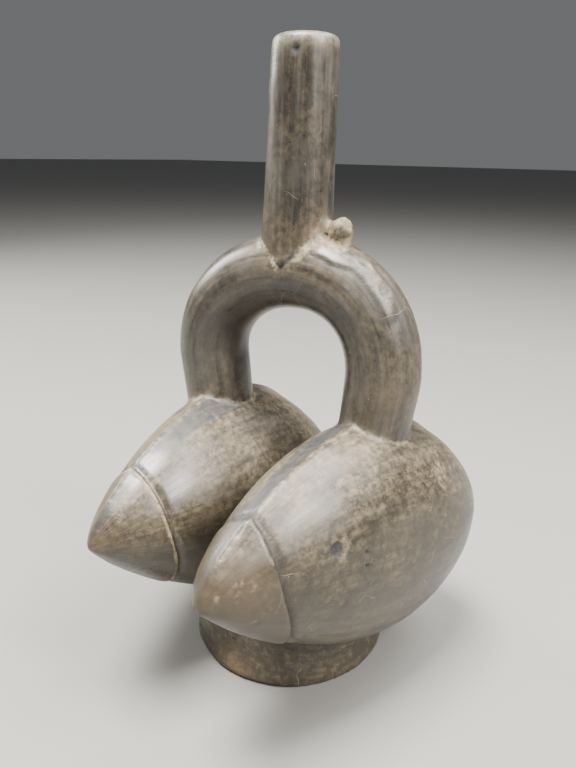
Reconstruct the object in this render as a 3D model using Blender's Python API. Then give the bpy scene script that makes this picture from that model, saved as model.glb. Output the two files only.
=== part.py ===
"""A burnished blackware vessel with two pointed, nut-shaped lobes, a ring foot and a stirrup spout.

The vessel is one fired piece, so it is one closed solid with walls of true thickness. Both lobes are hollow,
a channel runs through the stirrup from one lobe to the other, and the spout's bore opens into its crown.
+Z is up, +X runs across the two lobes and their noses point to -Y. The vessel stands on the ring foot at
z = 0, and the origin lies on that floor, under the middle of the vessel's outline.
"""

import math

import bmesh
import bpy
from mathutils import Matrix, Vector

MM = 0.001

# Overall
RIM_HEIGHT = 221.3 * MM
LOBE_WALL = 4.5 * MM
TUBE_WALL = 4.2 * MM

# Lobes: each has a straight axis from the tip of its nose to its rear
RIGHT_NOSE = Vector((26.0, -79.6, 69.0)) * MM
RIGHT_REAR = Vector((36.0, 53.8, 53.8)) * MM
LEFT_NOSE = Vector((-22.7, -77.2, 68.2)) * MM
LEFT_REAR = Vector((-32.8, 49.5, 52.2)) * MM
OUTER_HALF_WIDTH = 28.9 * MM
INNER_HALF_WIDTH = 33.0 * MM
HEIGHT_ABOVE_AXIS = 39.3 * MM
DEPTH_BELOW_AXIS = 44.0 * MM
AXIS_BOW = 0.55 * MM
# How the section grows behind the nose and closes at the rear, as powers of the distance from each end
OUTER_GROWTH = (0.77, 0.31)
INNER_GROWTH = (0.68, 0.31)
UPPER_GROWTH = (0.73, 0.52)
LOWER_GROWTH = (0.99, 0.47)
# Sharpness of the section's crest: 2 is a plain ellipse, less makes flatter flanks that meet in a keel
NOSE_CREST_POWER = 1.4
REAR_CREST_POWER = 1.95
INNER_CREST_POWER = 1.68
KEEL_SHARE = 0.55
KEEL_RISE = 1.3 * MM
KEEL_HALF_ANGLE = math.radians(7)

# Nose cap: a raised tip, marked off by a cut line
CAP_SHARE = 0.153
CAP_DROOP = 0.10
CAP_DROOP_POWER = 2.5
CAP_RISE = 0.8 * MM
CAP_CUT = 0.9 * MM
CAP_CUT_HALF_WIDTH = 1.1 * MM
# The relief fades out where the nose is thinner than this
RELIEF_FADE = 8.0 * MM

# Chamber inside each lobe, as shares of the lobe's own axis
CHAMBER_START = 0.11
CHAMBER_END = 0.962

# Stirrup: a tube bent in one upright plane
ARCH_HALF_SPAN = 34.8 * MM
ARCH_FOOT_Z = 115.4 * MM
ARCH_RISE = 33.2 * MM
ARCH_CROWN_Z = ARCH_FOOT_Z + ARCH_RISE
ARCH_SQUARENESS = 2.14
ARCH_SLANT = 1.2 * MM
LEG_END_Z = 76.0 * MM
LEG_LEAN = 0.126
ARCH_TUBE_RADIUS = 12.8 * MM
LEG_TUBE_RADIUS = 12.1 * MM
LEFT_EXTRA_RADIUS = 0.4 * MM
STIRRUP_TURN = math.radians(6.5)
STIRRUP_CENTRE_Y = 0.7 * MM

# Spout
SPOUT_BASE_RADIUS = 12.2 * MM
SPOUT_TOP_RADIUS = 10.8 * MM
SPOUT_LEAN = Vector((1.6, 1.15, 0.0)) * MM
LIP_BEVEL_HEIGHT = 4.2 * MM
LIP_BEVEL_WIDTH = 1.7 * MM
BORE_TOP_RADIUS = 7.2 * MM
BORE_BASE_RADIUS = 7.9 * MM
MOUTH_FLARE = 0.9 * MM

# Ring foot
FOOT_CENTRE = Vector((-1.0, 3.3, 0.0)) * MM
FOOT_RADIUS = 38.4 * MM
FOOT_TOP_RADIUS = 35.0 * MM
FOOT_HEIGHT = 18.0 * MM
FOOT_EDGE = 1.5 * MM
FOOT_WALL = 5.6 * MM
FOOT_FLARE_POWER = 1.5
FOOT_CROWN_Z = 40.0 * MM
FOOT_CROWN_RADIUS = 4.0 * MM
FOOT_CROWN_POWER = 0.7
RECESS_DEPTH = 25.0 * MM
RECESS_DOME_POWER = 1.35
# How far the cutters for the recess and the mouth reach past the face that they open
CUT_PAST = 2.0 * MM

# Knob and smeared clay beside the spout's base: ellipsoids, each with its long axis along a direction
KNOB_CENTRE = Vector((17.3, 1.6, 163.4)) * MM
KNOB_RADII = (4.1 * MM, 4.4 * MM)
KNOB_LIE = Vector((0.3, 0.9, 0.25))
KNOB_NECK_CENTRE = Vector((17.0, 1.4, 159.0)) * MM
KNOB_NECK_RADII = (3.3 * MM, 5.5 * MM)
KNOB_NECK_LIE = Vector((0.0, 0.0, 1.0))
SMEAR_CENTRE = Vector((10.2, -4.2, 156.6)) * MM
SMEAR_RADII = (4.2 * MM, 9.5 * MM)
SMEAR_LIE = Vector((8.0, 11.5, 7.0))

# Facets: how many rings and sides each round form has
LOBE_RINGS = 26
LOBE_SIDES = 36
CHAMBER_RINGS = 11
CHAMBER_SIDES = 18
ARCH_STEPS = 22
LEG_STEPS = 5
TUBE_SIDES = 26
CHANNEL_SIDES = 12
SPOUT_SIDES = 30
SPOUT_ROWS = 7
BORE_SIDES = 16
FOOT_SIDES = 48
FOOT_ROWS = 4
RECESS_SIDES = 32
RECESS_ROWS = 7
ROUNDING_STEPS = 5
LUMP_SIDES = 14
LUMP_ROWS = 8


def swell(share, growth):
    """0 at both ends of an axis and 1 at its peak; growth holds the powers at the nose and at the rear."""
    at_nose, at_rear = growth
    peak = at_nose / (at_nose + at_rear)
    highest = peak**at_nose * (1 - peak) ** at_rear
    return share**at_nose * (1 - share) ** at_rear / highest


def cap_line(angle):
    """Where the nose cap's edge crosses the lobe at this angle, as a share of the axis."""
    underside = (1 - math.sin(angle)) / 2
    return CAP_SHARE + CAP_DROOP * underside**CAP_DROOP_POWER


def crest_power(share, outer):
    """The keel is sharp at the nose and fades out under the stirrup's leg."""
    if not outer:
        return INNER_CREST_POWER
    faded = min(1, share / KEEL_SHARE)
    return NOSE_CREST_POWER + (REAR_CREST_POWER - NOSE_CREST_POWER) * faded


def lobe_frame(nose, rear):
    """The lobe's length and its three directions: along the axis, sideways to +X, and up."""
    along = rear - nose
    length = along.length
    along.normalize()
    side = along.cross(Vector((0, 0, 1))).normalized()
    return length, along, side, side.cross(along)


def lobe_relief(behind_cap, angle):
    """Height of the cap's step, its cut line and the keel above the plain lobe."""
    relief = KEEL_RISE * math.exp(-(((angle - math.pi / 2) / KEEL_HALF_ANGLE) ** 2))
    if behind_cap < 0:
        relief += CAP_RISE * min(1, -behind_cap / CAP_CUT_HALF_WIDTH)
    return relief - CAP_CUT * math.exp(-((behind_cap / CAP_CUT_HALF_WIDTH) ** 2))


def lobe_point(nose, rear, share, angle, inset=0.0):
    """A point of the lobe's skin, or of its chamber's when inset is the wall; 0 is +X, 90 degrees is up."""
    length, along, side, up = lobe_frame(nose, rear)
    outward = 1 if nose.x > 0 else -1
    cosine, sine = math.cos(angle), math.sin(angle)
    outer = cosine * outward > 0
    half_width = OUTER_HALF_WIDTH if outer else INNER_HALF_WIDTH
    width = (half_width - inset) * swell(share, OUTER_GROWTH if outer else INNER_GROWTH)
    if sine > 0:
        height = (HEIGHT_ABOVE_AXIS - inset) * swell(share, UPPER_GROWTH)
        power = crest_power(share, outer)
        across = math.copysign(max(0.0, 1 - sine * sine) ** (1 / power), cosine) * width
    else:
        height = (DEPTH_BELOW_AXIS - inset) * swell(share, LOWER_GROWTH)
        across = cosine * width
    rise = sine * height
    if not inset:
        reach = math.hypot(across, rise)
        relief = lobe_relief((share - cap_line(angle)) * length, angle)
        stretch = 1 + relief * min(1, reach / RELIEF_FADE) / reach
        across *= stretch
        rise *= stretch
    middle = nose + along * (share * length) + up * (4 * AXIS_BOW * share * (1 - share))
    return middle + side * across + up * rise


def eased(count):
    """Shares from 0 to 1, closer together towards both ends."""
    return [(1 - math.cos(math.pi * step / count)) / 2 for step in range(1, count)]


def ring_shares(angle):
    """Rings of the lobe at this angle: three follow the cap's cut line, the others are spread around them."""
    edge = cap_line(angle)
    gap = 1.5 * CAP_CUT_HALF_WIDTH / (RIGHT_REAR - RIGHT_NOSE).length
    before = [edge * share for share in (0.03, 0.14, 0.34, 0.6)] + [edge - gap]
    behind = [share for share in eased(2 * (LOBE_RINGS - 7)) if share > 0.5]
    after = [edge + gap + (2 * share - 1) * (1 - edge - gap) for share in behind]
    return before + [edge, edge + gap] + after


def solid_from_rings(name, rings, start, end):
    """One closed mesh through rings of points, each with as many points, drawn to a point at both ends."""
    shape = bmesh.new()
    loops = [[shape.verts.new(point) for point in ring] for ring in rings]
    sides = len(loops[0])
    for near, far in zip(loops, loops[1:]):
        for k in range(sides):
            shape.faces.new((near[k], near[(k + 1) % sides], far[(k + 1) % sides], far[k]))
    for loop, point, turn in ((loops[0], start, True), (loops[-1], end, False)):
        tip = shape.verts.new(point)
        for k in range(sides):
            pair = (loop[(k + 1) % sides], loop[k]) if turn else (loop[k], loop[(k + 1) % sides])
            shape.faces.new((*pair, tip))
    bmesh.ops.recalc_face_normals(shape, faces=shape.faces)
    if shape.calc_volume(signed=True) < 0:
        bmesh.ops.reverse_faces(shape, faces=shape.faces)
    mesh = bpy.data.meshes.new(name)
    shape.to_mesh(mesh)
    shape.free()
    mesh.shade_smooth()
    thing = bpy.data.objects.new(name, mesh)
    bpy.context.scene.collection.objects.link(thing)
    return thing


def angles(sides):
    return [math.tau * k / sides for k in range(sides)]


def lobe(name, nose, rear):
    """The plain outside of one lobe, with its keel and nose cap."""
    columns = [ring_shares(angle) for angle in angles(LOBE_SIDES)]
    rings = [
        [lobe_point(nose, rear, columns[k][row], angle) for k, angle in enumerate(angles(LOBE_SIDES))]
        for row in range(len(columns[0]))
    ]
    return solid_from_rings(name, rings, nose, rear)


def chamber(name, nose, rear):
    """The hollow of one lobe."""
    inside_nose = nose.lerp(rear, CHAMBER_START)
    inside_rear = nose.lerp(rear, CHAMBER_END)
    rings = [
        [
            inside_nose + lobe_point(nose, rear, share, angle, LOBE_WALL) - nose.lerp(rear, share)
            + (inside_rear - inside_nose) * share
            for angle in angles(CHAMBER_SIDES)
        ]
        for share in eased(CHAMBER_RINGS)
    ]
    return solid_from_rings(name, rings, inside_nose, inside_rear)


def stirrup_line():
    """The stirrup's centre line with the tube's radius at each point, from right leg to left leg."""
    line = []
    leg_length = ARCH_FOOT_Z - LEG_END_Z
    for step in range(LEG_STEPS):
        drop = leg_length * (1 - step / LEG_STEPS)
        radius = ARCH_TUBE_RADIUS + (LEG_TUBE_RADIUS - ARCH_TUBE_RADIUS) * drop / leg_length
        line.append((ARCH_HALF_SPAN - LEG_LEAN * drop, ARCH_FOOT_Z - drop, radius))
    for step in range(ARCH_STEPS + 1):
        angle = math.pi * step / ARCH_STEPS
        cosine, sine = math.cos(angle), math.sin(angle)
        across = math.copysign(abs(cosine) ** (2 / ARCH_SQUARENESS), cosine) * ARCH_HALF_SPAN
        height = sine ** (2 / ARCH_SQUARENESS) * ARCH_RISE + ARCH_SLANT * math.sin(2 * angle)
        line.append((across, ARCH_FOOT_Z + height, ARCH_TUBE_RADIUS))
    line += [(-across, height, radius) for across, height, radius in reversed(line[:LEG_STEPS])]
    turn = Matrix.Rotation(STIRRUP_TURN, 3, "Z")
    shift = Vector((0, STIRRUP_CENTRE_Y, 0))
    plumped = []
    for across, height, radius in line:
        radius += LEFT_EXTRA_RADIUS * (0.5 - 0.5 * across / ARCH_HALF_SPAN)
        plumped.append((turn @ Vector((across, 0, height)) + shift, radius))
    return plumped


def stirrup_tube(name, inset, sides):
    """The stirrup's tube, or its channel when inset is the wall."""
    line = stirrup_line()
    plane_normal = Matrix.Rotation(STIRRUP_TURN, 3, "Z") @ Vector((0, 1, 0))
    rings = []
    for k, (centre, radius) in enumerate(line):
        ahead = line[min(k + 1, len(line) - 1)][0] - line[max(k - 1, 0)][0]
        across = ahead.normalized().cross(plane_normal)
        rings.append([
            centre + (radius - inset) * (math.cos(angle) * across + math.sin(angle) * plane_normal)
            for angle in angles(sides)
        ])
    return solid_from_rings(name, rings, line[0][0], line[-1][0])


def turned(name, profile, axis_at, sides):
    """A turned solid: profile is (radius, z) from bottom to top, and axis_at(z) is the axis there."""
    rings = [
        [
            axis_at(z) + Vector((radius * math.cos(angle), radius * math.sin(angle), 0))
            for angle in angles(sides)
        ]
        for radius, z in profile
    ]
    return solid_from_rings(name, rings, axis_at(profile[0][1]), axis_at(profile[-1][1]))


def spout_axis(z):
    """The spout leans a little, from the stirrup's crown to its rim."""
    climbed = (z - ARCH_CROWN_Z) / (RIM_HEIGHT - ARCH_CROWN_Z)
    return Vector((0, STIRRUP_CENTRE_Y, z)) + SPOUT_LEAN * climbed


def spout(name):
    """The spout's outside, with a bevelled and rounded lip."""
    shoulder = RIM_HEIGHT - LIP_BEVEL_HEIGHT
    profile = []
    for row in range(SPOUT_ROWS + 1):
        share = row / SPOUT_ROWS
        radius = SPOUT_BASE_RADIUS + (SPOUT_TOP_RADIUS - SPOUT_BASE_RADIUS) * share
        profile.append((radius, ARCH_CROWN_Z + (shoulder - ARCH_CROWN_Z) * share))
    for step in range(1, ROUNDING_STEPS + 1):
        turn = math.pi / 2 * step / ROUNDING_STEPS
        profile.append((
            SPOUT_TOP_RADIUS - LIP_BEVEL_WIDTH * (1 - math.cos(turn)),
            shoulder + LIP_BEVEL_HEIGHT * math.sin(turn),
        ))
    return turned(name, profile, spout_axis, SPOUT_SIDES)


def bore(name):
    """The spout's hollow, which widens at the mouth and ends inside the stirrup's channel."""
    profile = [
        (BORE_BASE_RADIUS, ARCH_CROWN_Z),
        (BORE_TOP_RADIUS, RIM_HEIGHT - 3 * MOUTH_FLARE),
        (BORE_TOP_RADIUS + 0.3 * MOUTH_FLARE, RIM_HEIGHT - MOUTH_FLARE),
        (BORE_TOP_RADIUS + MOUTH_FLARE, RIM_HEIGHT),
        (BORE_TOP_RADIUS + 3 * MOUTH_FLARE, RIM_HEIGHT + CUT_PAST),
    ]
    return turned(name, profile, spout_axis, BORE_SIDES)


def foot_axis(z):
    return FOOT_CENTRE + Vector((0, 0, z))


def foot(name):
    """The ring foot with the clay that fills the valley between the lobes above it."""
    profile = [
        (FOOT_RADIUS - FOOT_EDGE, 0),
        (FOOT_RADIUS - 0.3 * FOOT_EDGE, 0.3 * FOOT_EDGE),
        (FOOT_RADIUS, FOOT_EDGE),
    ]
    for row in range(1, FOOT_ROWS + 1):
        share = row / FOOT_ROWS
        flare = (FOOT_RADIUS - FOOT_TOP_RADIUS) * (1 - (1 - share) ** FOOT_FLARE_POWER)
        profile.append((FOOT_RADIUS - flare, FOOT_EDGE + (FOOT_HEIGHT - FOOT_EDGE) * share))
    for step in range(1, ROUNDING_STEPS):
        turn = math.pi / 2 * step / ROUNDING_STEPS
        profile.append((
            FOOT_TOP_RADIUS * math.cos(turn) ** FOOT_CROWN_POWER,
            FOOT_HEIGHT + (FOOT_CROWN_Z - FOOT_HEIGHT) * math.sin(turn),
        ))
    profile.append((FOOT_CROWN_RADIUS, FOOT_CROWN_Z))
    return turned(name, profile, foot_axis, FOOT_SIDES)


def recess(name):
    """The hollow under the vessel, inside the ring foot, with a domed roof."""
    mouth = FOOT_RADIUS - FOOT_EDGE - FOOT_WALL
    profile = [(mouth + FOOT_EDGE, -CUT_PAST), (mouth + 0.6 * FOOT_EDGE, 0.4 * FOOT_EDGE)]
    for row in range(1, RECESS_ROWS):
        turn = math.pi / 2 * row / RECESS_ROWS
        profile.append((
            (mouth + 0.6 * FOOT_EDGE) * math.cos(turn),
            RECESS_DEPTH * math.sin(turn) ** RECESS_DOME_POWER,
        ))
    return turned(name, profile, foot_axis, RECESS_SIDES)


def lump(name, centre, radii, lie):
    """A smooth lump of clay: an ellipsoid of (radius across, radius along) with its long axis along lie."""
    across, along = radii
    turn_to = Vector((0, 0, 1)).rotation_difference(lie.normalized()).to_matrix()
    rings = []
    for row in range(1, LUMP_ROWS):
        turn = math.pi * row / LUMP_ROWS
        girth = across * math.sin(turn)
        height = -along * math.cos(turn)
        rings.append([
            centre + turn_to @ Vector((girth * math.cos(angle), girth * math.sin(angle), height))
            for angle in angles(LUMP_SIDES)
        ])
    pole = turn_to @ Vector((0, 0, along))
    return solid_from_rings(name, rings, centre - pole, centre + pole)


def burnished_clay():
    """Dark grey reduction-fired clay, rubbed to a soft shine."""
    material = bpy.data.materials.new("burnished_clay")
    material.use_nodes = True
    shader = material.node_tree.nodes["Principled BSDF"]
    shader.inputs["Base Color"].default_value = (0.075, 0.068, 0.058, 1)
    shader.inputs["Roughness"].default_value = 0.38
    shader.inputs["Metallic"].default_value = 0.0
    return material


def join(vessel, helpers, operation):
    """Adds one Boolean for each helper, which itself isn't shown."""
    for helper in helpers:
        helper.hide_render = True
        helper.display_type = "WIRE"
        modifier = vessel.modifiers.new(helper.name, "BOOLEAN")
        modifier.operation = operation
        modifier.solver = "EXACT"
        modifier.object = helper


def centre_over_floor(vessel, helpers):
    """Moves the vessel and its helpers so that the origin lies under the middle of the vessel's outline."""
    bpy.context.view_layer.update()
    shaped = vessel.evaluated_get(bpy.context.evaluated_depsgraph_get())
    corners = [Vector(corner) for corner in shaped.bound_box]
    middle = (corners[0] + corners[6]) / 2
    for thing in [vessel, *helpers]:
        thing.location = (-middle.x, -middle.y, 0)


def main():
    for thing in list(bpy.data.objects):
        bpy.data.objects.remove(thing)
    vessel = lobe("stirrup_spout_vessel", RIGHT_NOSE, RIGHT_REAR)
    vessel.data.materials.append(burnished_clay())
    added = [
        lobe("left_lobe", LEFT_NOSE, LEFT_REAR),
        foot("ring_foot"),
        stirrup_tube("stirrup", 0.0, TUBE_SIDES),
        spout("spout"),
        lump("smear", SMEAR_CENTRE, SMEAR_RADII, SMEAR_LIE),
        lump("knob_neck", KNOB_NECK_CENTRE, KNOB_NECK_RADII, KNOB_NECK_LIE),
        lump("knob", KNOB_CENTRE, KNOB_RADII, KNOB_LIE),
    ]
    removed = [
        chamber("right_chamber", RIGHT_NOSE, RIGHT_REAR),
        chamber("left_chamber", LEFT_NOSE, LEFT_REAR),
        stirrup_tube("channel", TUBE_WALL, CHANNEL_SIDES),
        bore("bore"),
        recess("recess"),
    ]
    join(vessel, added, "UNION")
    join(vessel, removed, "DIFFERENCE")
    centre_over_floor(vessel, added + removed)


main()
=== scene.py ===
"""The looks of a burnished blackware stirrup spout vessel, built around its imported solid.

The vessel's forms are worked out again from the solid's own named sizes, in the pot frame, where the ring
foot's centre is FOOT_CENTRE. They are fused into one skin, worn and chipped, and hollowed as the solid is.
"""

import math
from types import SimpleNamespace

import bmesh
import bpy
import numpy as np
from mathutils import Matrix, Vector, noise
from mathutils.bvhtree import BVHTree


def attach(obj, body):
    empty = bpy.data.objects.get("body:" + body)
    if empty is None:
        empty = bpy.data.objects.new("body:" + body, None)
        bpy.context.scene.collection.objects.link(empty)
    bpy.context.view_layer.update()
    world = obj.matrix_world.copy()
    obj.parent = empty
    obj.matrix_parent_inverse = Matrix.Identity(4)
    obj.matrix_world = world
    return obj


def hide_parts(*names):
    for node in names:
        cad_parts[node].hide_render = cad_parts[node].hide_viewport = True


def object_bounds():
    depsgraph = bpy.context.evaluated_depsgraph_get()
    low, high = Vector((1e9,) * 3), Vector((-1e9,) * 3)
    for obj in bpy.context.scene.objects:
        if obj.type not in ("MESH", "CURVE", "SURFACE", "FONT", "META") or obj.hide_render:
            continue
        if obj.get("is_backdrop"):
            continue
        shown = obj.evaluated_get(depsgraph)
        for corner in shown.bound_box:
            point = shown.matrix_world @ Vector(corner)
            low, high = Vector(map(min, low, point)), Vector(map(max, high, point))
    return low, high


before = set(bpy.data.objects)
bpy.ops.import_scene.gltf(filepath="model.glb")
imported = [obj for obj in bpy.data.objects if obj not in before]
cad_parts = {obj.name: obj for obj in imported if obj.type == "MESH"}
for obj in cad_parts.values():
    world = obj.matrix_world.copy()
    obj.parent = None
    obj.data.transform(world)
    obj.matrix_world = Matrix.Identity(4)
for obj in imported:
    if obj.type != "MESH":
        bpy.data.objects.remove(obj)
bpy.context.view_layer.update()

MM = 0.001

# The photograph's camera, in the pot frame
PHOTO_WIDTH = 576
PHOTO_HEIGHT = 768
FOCAL_PIXELS = 654.9
SENSOR_WIDTH = 36.0
NEAREST_SEEN = 10 * MM
CAMERA_SIDE = 1.394 * MM
CAMERA_DISTANCE = 225.89 * MM
CAMERA_HEIGHT = 186.57 * MM
CAMERA_PITCH = math.radians(19.38)
CAMERA_YAW = math.radians(35.72)
CAMERA_ROLL = math.radians(1.04)

# Overall
RIM_HEIGHT = 221.3 * MM
LOBE_WALL = 4.5 * MM
TUBE_WALL = 4.2 * MM

# How finely the forms are drawn, and the grids that fuse them
LOBE_RINGS = 110
LOBE_SIDES = 144
CHAMBER_RINGS = 30
CHAMBER_SIDES = 40
LEG_STEPS = 20
ARCH_STEPS = 90
TUBE_SIDES = 72
CHANNEL_SIDES = 40
SPOUT_ROWS = 70
LIP_STEPS = 16
SPOUT_SIDES = 72
BORE_SIDES = 48
FOOT_STEPS = 16
FOOT_SIDES = 144
RECESS_STEPS = 16
RECESS_SIDES = 80
LUMP_RINGS = 24
LUMP_SIDES = 32
SKIN_GRID = 1.08 * MM
HOLLOW_GRID = 2.4 * MM
SMOOTHING_PASSES = 3

# Lobes: each has a straight axis from the tip of its nose to its rear
RIGHT_NOSE = Vector((26.0, -79.6, 69.0)) * MM
RIGHT_REAR = Vector((36.0, 53.8, 53.8)) * MM
LEFT_NOSE = Vector((-22.7, -77.2, 68.2)) * MM
LEFT_REAR = Vector((-32.8, 49.5, 52.2)) * MM
OUTER_HALF_WIDTH = 28.9 * MM
INNER_HALF_WIDTH = 33.0 * MM
HEIGHT_ABOVE_AXIS = 39.3 * MM
DEPTH_BELOW_AXIS = 44.0 * MM
AXIS_BOW = 0.55 * MM
OUTER_GROWTH = (0.77, 0.31)
INNER_GROWTH = (0.68, 0.31)
UPPER_GROWTH = (0.73, 0.52)
LOWER_GROWTH = (0.99, 0.47)
NOSE_CREST_POWER = 1.4
REAR_CREST_POWER = 1.95
INNER_CREST_POWER = 1.68
KEEL_SHARE = 0.55
KEEL_RISE = 1.3 * MM
KEEL_HALF_ANGLE = math.radians(7)

# Nose cap: a raised tip, marked off by a cut line
CAP_SHARE = 0.153
CAP_DROOP = 0.10
CAP_DROOP_POWER = 2.5
CAP_RISE = 0.8 * MM
CAP_CUT = 1.0 * MM
CAP_CUT_HALF_WIDTH = 1.0 * MM
RELIEF_FADE = 8.0 * MM

# Chambers
CHAMBER_START = 0.11
CHAMBER_END = 0.962

# Stirrup
ARCH_HALF_SPAN = 34.8 * MM
ARCH_FOOT_Z = 115.4 * MM
ARCH_RISE = 33.2 * MM
ARCH_CROWN_Z = ARCH_FOOT_Z + ARCH_RISE
ARCH_SQUARENESS = 2.14
ARCH_SLANT = 1.2 * MM
LEG_END_Z = 76.0 * MM
LEG_LEAN = 0.126
ARCH_TUBE_RADIUS = 12.8 * MM
LEG_TUBE_RADIUS = 12.1 * MM
LEFT_EXTRA_RADIUS = 0.4 * MM
STIRRUP_TURN = math.radians(6.5)
STIRRUP_CENTRE_Y = 0.7 * MM

# Spout
SPOUT_BASE_RADIUS = 12.2 * MM
SPOUT_TOP_RADIUS = 10.8 * MM
SPOUT_LEAN = Vector((1.6, 1.15, 0.0)) * MM
LIP_BEVEL_HEIGHT = 4.2 * MM
LIP_BEVEL_WIDTH = 1.7 * MM
BORE_TOP_RADIUS = 7.2 * MM
BORE_BASE_RADIUS = 7.9 * MM
MOUTH_FLARE = 0.9 * MM
CUT_PAST = 2.0 * MM

# Ring foot
FOOT_CENTRE = Vector((-1.0, 3.3, 0.0)) * MM
FOOT_RADIUS = 38.4 * MM
FOOT_TOP_RADIUS = 35.0 * MM
FOOT_HEIGHT = 18.0 * MM
FOOT_EDGE = 1.5 * MM
FOOT_WALL = 5.6 * MM
FOOT_FLARE_POWER = 1.5
FOOT_CROWN_Z = 40.0 * MM
FOOT_CROWN_RADIUS = 4.0 * MM
FOOT_CROWN_POWER = 0.7
RECESS_DEPTH = 25.0 * MM
RECESS_DOME_POWER = 1.35

# Knob and smeared clay beside the spout's base: centre, (radius across, radius along), long axis
LUMPS = {
    "knob": (Vector((17.3, 1.6, 163.4)) * MM, (4.1 * MM, 4.4 * MM), Vector((0.3, 0.9, 0.25))),
    "knob_neck": (Vector((17.0, 1.4, 159.0)) * MM, (3.3 * MM, 5.5 * MM), Vector((0.0, 0.0, 1.0))),
    "smear": (Vector((10.2, -3.8, 156.2)) * MM, (3.6 * MM, 8.5 * MM), Vector((8.0, 11.5, 7.0))),
}

# Outer forms, numbered in the order in which outer_forms makes them
RIGHT_LOBE, LEFT_LOBE, FOOT, STIRRUP, SPOUT, KNOB, KNOB_NECK, SMEAR = range(8)
LOBE_ENDS = {RIGHT_LOBE: (RIGHT_NOSE, RIGHT_REAR), LEFT_LOBE: (LEFT_NOSE, LEFT_REAR)}

# Marks, placed by a pixel of the photograph: (x, y, radius in mm, depth in mm or strength from 0 to 1)
# Pits are cut into the skin, and shade is painted into their deeper parts
PITS = (
    (337, 549, 2.5, 0.5), (367, 552, 0.9, 0.5), (367, 565, 0.9, 0.5), (296, 48, 1.1, 0.6),
    (334, 232, 0.8, 0.35), (341, 229, 0.7, 0.3), (337, 239, 0.7, 0.3), (345, 236, 0.6, 0.3),
)
CHIPS = (
    (88, 550, 2.6, 0.9), (196, 610, 1.6, 0.3), (378, 268, 2.4, 0.35), (371, 280, 1.6, 0.3),
    (385, 290, 2.2, 0.3), (364, 263, 1.8, 0.3), (255, 623, 1.3, 0.4), (343, 603, 1.3, 0.4),
    (308, 583, 1.1, 0.35), (280, 268, 1.6, 0.4),
)
DEPOSITS = (
    (325, 235, 5.5, 0.70), (313, 246, 3.6, 0.66), (338, 247, 3.4, 0.80), (322, 224, 3.0, 0.6),
    (348, 238, 3.0, 0.6), (300, 254, 2.6, 0.7), (368, 268, 3.4, 0.5), (378, 283, 3.0, 0.45),
    (255, 623, 1.2, 0.9), (343, 603, 1.2, 0.8), (308, 583, 1.0, 0.7), (395, 305, 3.0, 0.25),
    (440, 470, 13.0, 0.34), (452, 520, 12.0, 0.34), (425, 565, 12.0, 0.26), (243, 590, 7.0, 0.28),
    (262, 610, 8.0, 0.26), (222, 604, 4.0, 0.28), (338, 551, 8.0, 0.42), (120, 510, 8.0, 0.30),
    (160, 540, 5.0, 0.30), (215, 420, 7.0, 0.26),
)
WARM_PATCHES = (
    (248, 680, 8.0, 0.95), (234, 668, 6.0, 0.8), (270, 686, 7.0, 0.7), (92, 552, 4.0, 0.5),
    (325, 236, 7.0, 0.4), (388, 400, 5.0, 0.25), (250, 600, 9.0, 0.12), (430, 600, 12.0, 0.2),
)

# Lines through pixels of the photograph: a flaked edge on the stirrup, and the creases at the spout's foot
SCARP = ((309, 251), (329, 263), (352, 271), (364, 283), (376, 304))
# The dark crease is cut into the skin, and shade is painted along it
DARK_CREASE = ((277, 270), (283, 264), (290, 258), (298, 252))
PALE_CREASE = ((261, 243), (266, 251), (271, 260), (277, 270))
CREASE_WIDTH = 0.9 * MM
CREASE_DEPTH = 0.6 * MM

# The flaked layer: its step, how ragged its edge is, and how far it reaches from the edge
SCARP_STEP = 0.55 * MM
SCARP_RAGGEDNESS = 0.5 * MM
SCARP_EDGE = (-0.2 * MM, 0.7 * MM)
SCARP_NEAR = 4 * MM
SCARP_REACH = 9 * MM

# Chips: ragged hollows, from their rim to their floor in shares of the radius
CHIP_RAGGEDNESS = 0.35
CHIP_RIM = 1.15
CHIP_FLOOR = 0.75

# Unevenness of the skin: each noise is (bumps per metre, seed)
SWELLING_NOISE = (55, 1)
SWELLING_HEIGHT = 0.22 * MM
RIPPLE_NOISE = (150, 2)
RIPPLE_HEIGHT = 0.08 * MM
CRUMB_NOISE = (260, 7)
CRUMB_HEIGHT = 0.5 * MM
ROUGH_NOISE = (420, 5)
ROUGH_CRUMB_HEIGHT = 0.25 * MM
ROUGH_SEAM_HEIGHT = 0.22 * MM
NOISE_SHIFT = (3.7, 1.3, 2.1)

# Heights at the foot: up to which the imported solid's points stand on the floor, up to which the skin
# isn't pushed, and up to which it is laid flat on the floor
ON_FLOOR = 0.01 * MM
UNPUSHED_HEIGHT = 0.6 * MM
STANDING_HEIGHT = 0.35 * MM

# A point counts as a lobe's this near its surface, and is placed no closer to its axis and its ends
NEAR_LOBE = 1.5 * MM
LEAST_REACH = 0.1 * MM
END_MARGIN = 0.002

# Places that the finish knows on the lobes: angles in radians from the crest, shares of the axis, widths
KEEL_MASK_ANGLE = math.radians(9)
KEEL_MASK_END = 0.62
# The band is the keel's far flank, which takes a painted reflection and shade in cool grey
BAND_OUTER_EDGE = (0.03, 0.07)
BAND_INNER_EDGE = (0.42, 0.34)
BAND_REAR_END = (0.68, 0.50)
# Shade is painted along the caps' cut line
CAP_LINE_WIDTH = 0.8 * MM
# A highlight is painted along the caps' raised lip, set off from the cut line
CAP_LIP_PLACE = 1.6 * MM
CAP_LIP_WIDTH = 0.9 * MM
CAP_BLEND = 1.5 * MM

# Seams between the forms, where the deposit sticks
SEAM_WIDTH = 1.6 * MM
THIN_SEAM_WIDTH = 0.7 * MM
WIDE_SEAM_WIDTH = 5 * MM
UPPER_SEAMS_FROM = 80 * MM
LEG_SEAMS_UP_TO = 125 * MM
PATCH_NOISE = (120, 9)
PATCH_MIDDLE = 0.62
PATCH_SWING = 0.38

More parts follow.
